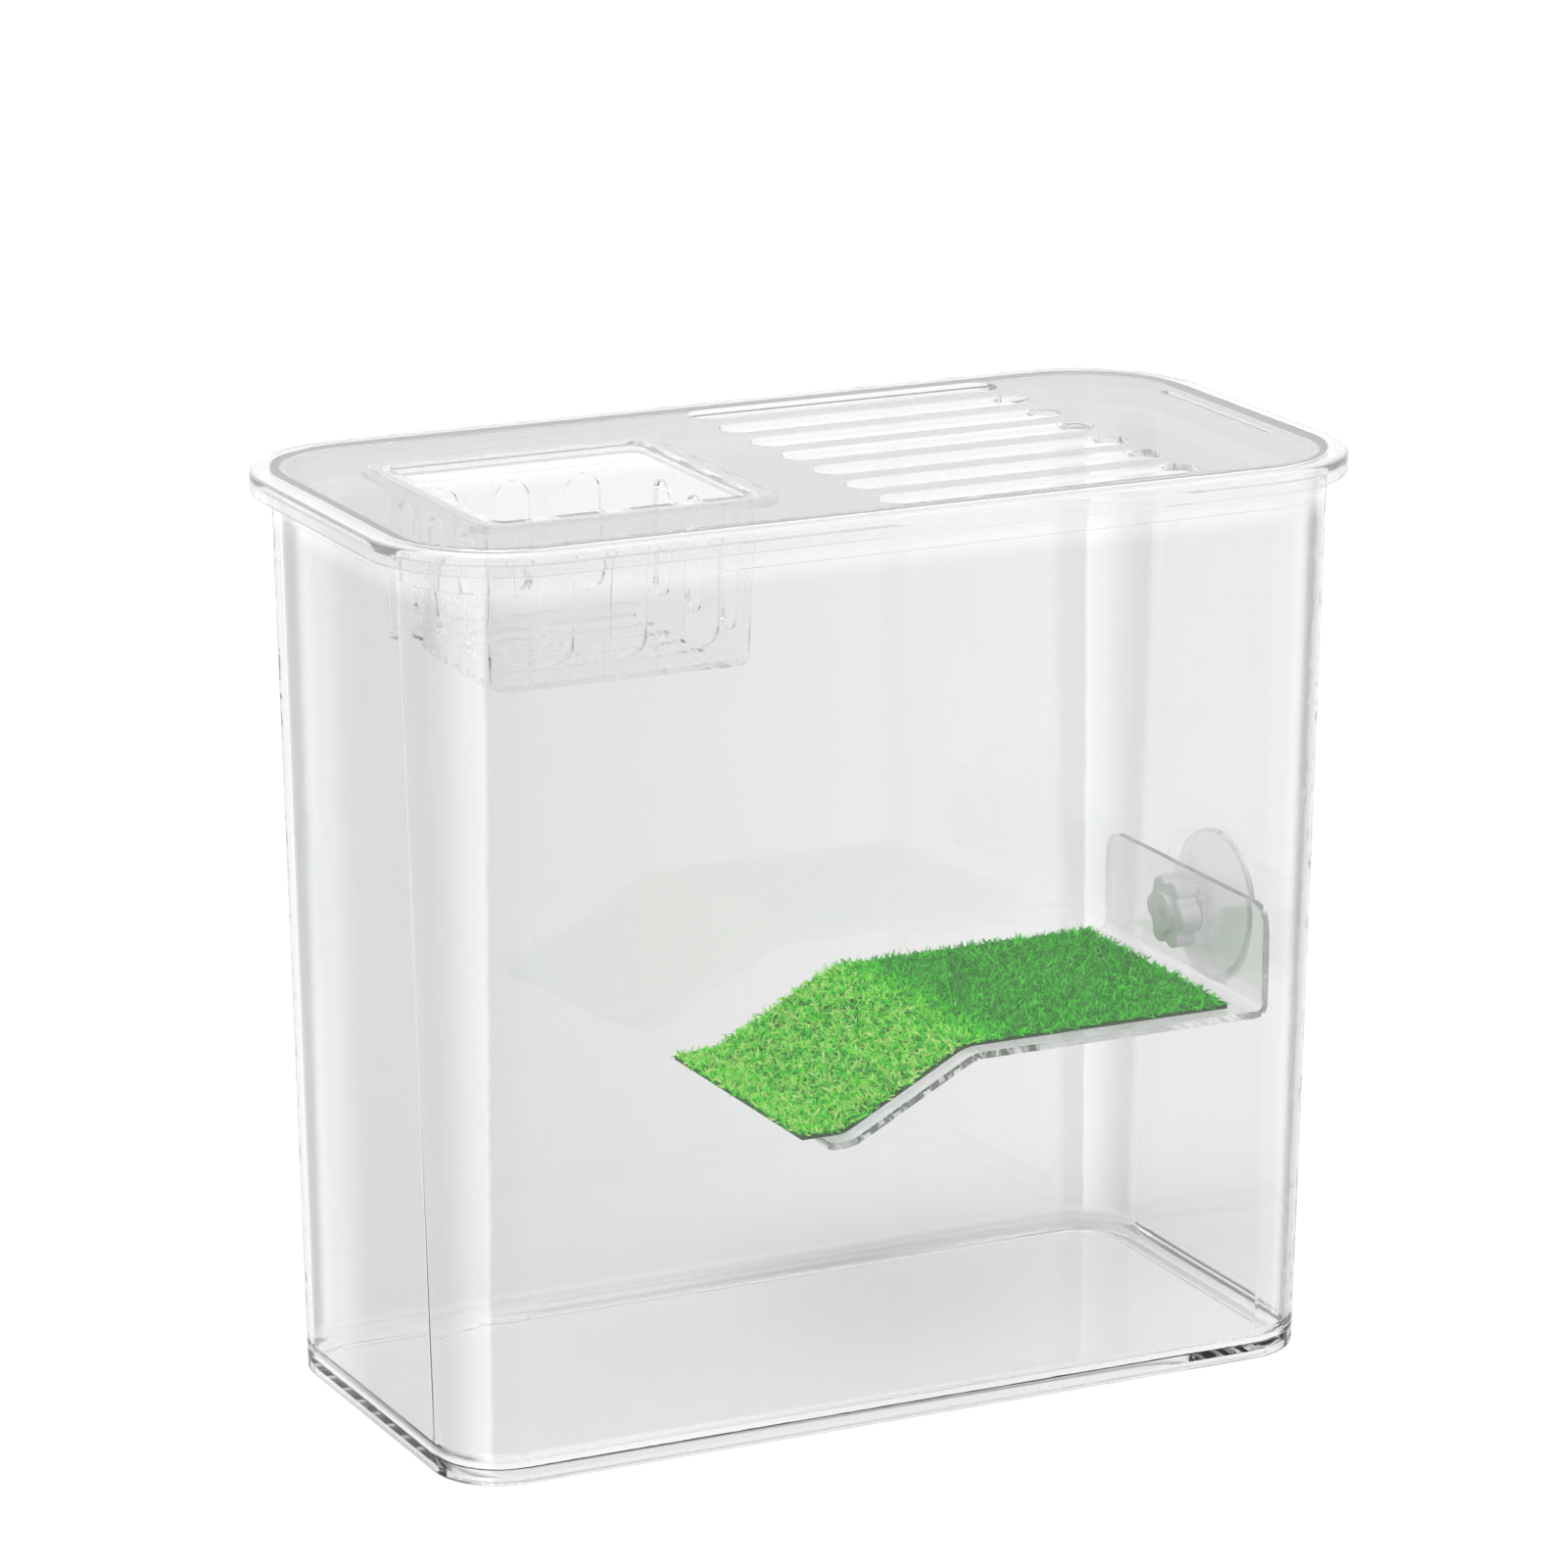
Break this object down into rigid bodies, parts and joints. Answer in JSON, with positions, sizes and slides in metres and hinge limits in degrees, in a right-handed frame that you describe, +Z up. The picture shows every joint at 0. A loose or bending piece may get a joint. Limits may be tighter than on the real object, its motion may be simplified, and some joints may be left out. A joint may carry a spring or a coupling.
{
  "type": "turtle terrarium",
  "caption": "Clear box tank with a vented lid, a hanging slotted basket, and a basking platform on a suction cup with a turf mat.",
  "frame": {"origin": "centre of the tank's footprint, on the plane of its foot ring", "axes": "+Z up, +X along the tank's length towards the end wall that holds the platform, +Y towards the side with the food trough"},
  "size_m": [0.28, 0.147, 0.252],
  "materials": {
    "clear_shell": "clear, polished moulding",
    "clear_lid": "clear, polished moulding",
    "clear_basket": "clear, polished moulding",
    "clear_sheet": "clear, glossy",
    "soft_vinyl": "clear, soft",
    "milky_knob": "translucent, milky",
    "stud_steel": "plated",
    "turf_back": "woven",
    "turf_blades": "soft strands"
  },
  "bodies": {
    "tank": {"tank": "clear_shell"},
    "lid": {"lid": "clear_lid"},
    "basket": {"basket": "clear_basket"},
    "cup": {"suction_cup": "soft_vinyl", "cup_stud": "stud_steel"},
    "platform": {"platform": "clear_sheet"},
    "knob": {"knob": "milky_knob"},
    "turf": {"turf_backing": "turf_back", "turf_pile_shelf": "turf_blades", "turf_pile_ramp": "turf_blades", "turf_pile_lip": "turf_blades"}
  },
  "joints": [
    {"name": "lid_lift", "type": "slide", "parent": "tank", "child": "lid", "axis": [0, 0, 1], "range_m": [0, 0.12]},
    {"name": "basket_lift", "type": "slide", "parent": "lid", "child": "basket", "axis": [0, 0, 1], "range_m": [0, 0.07]},
    {"name": "cup_height", "type": "slide", "parent": "tank", "child": "cup", "axis": [0.0226, 0, 0.9997], "range_m": [-0.06, 0.09]},
    {"name": "platform_level", "type": "hinge", "parent": "cup", "child": "platform", "pos_m": [0.11933, 0, 0.112], "axis": [1, 0, 0], "range_deg": [-8, 8]},
    {"name": "knob_turn", "type": "hinge", "parent": "cup", "child": "knob", "pos_m": [0.11433, 0, 0.112], "axis": [-1, 0, 0], "range_deg": [0, 360]},
    {"name": "turf_lift", "type": "slide", "parent": "platform", "child": "turf", "axis": [0, 0, 1], "range_m": [0, 0.03]}
  ]
}
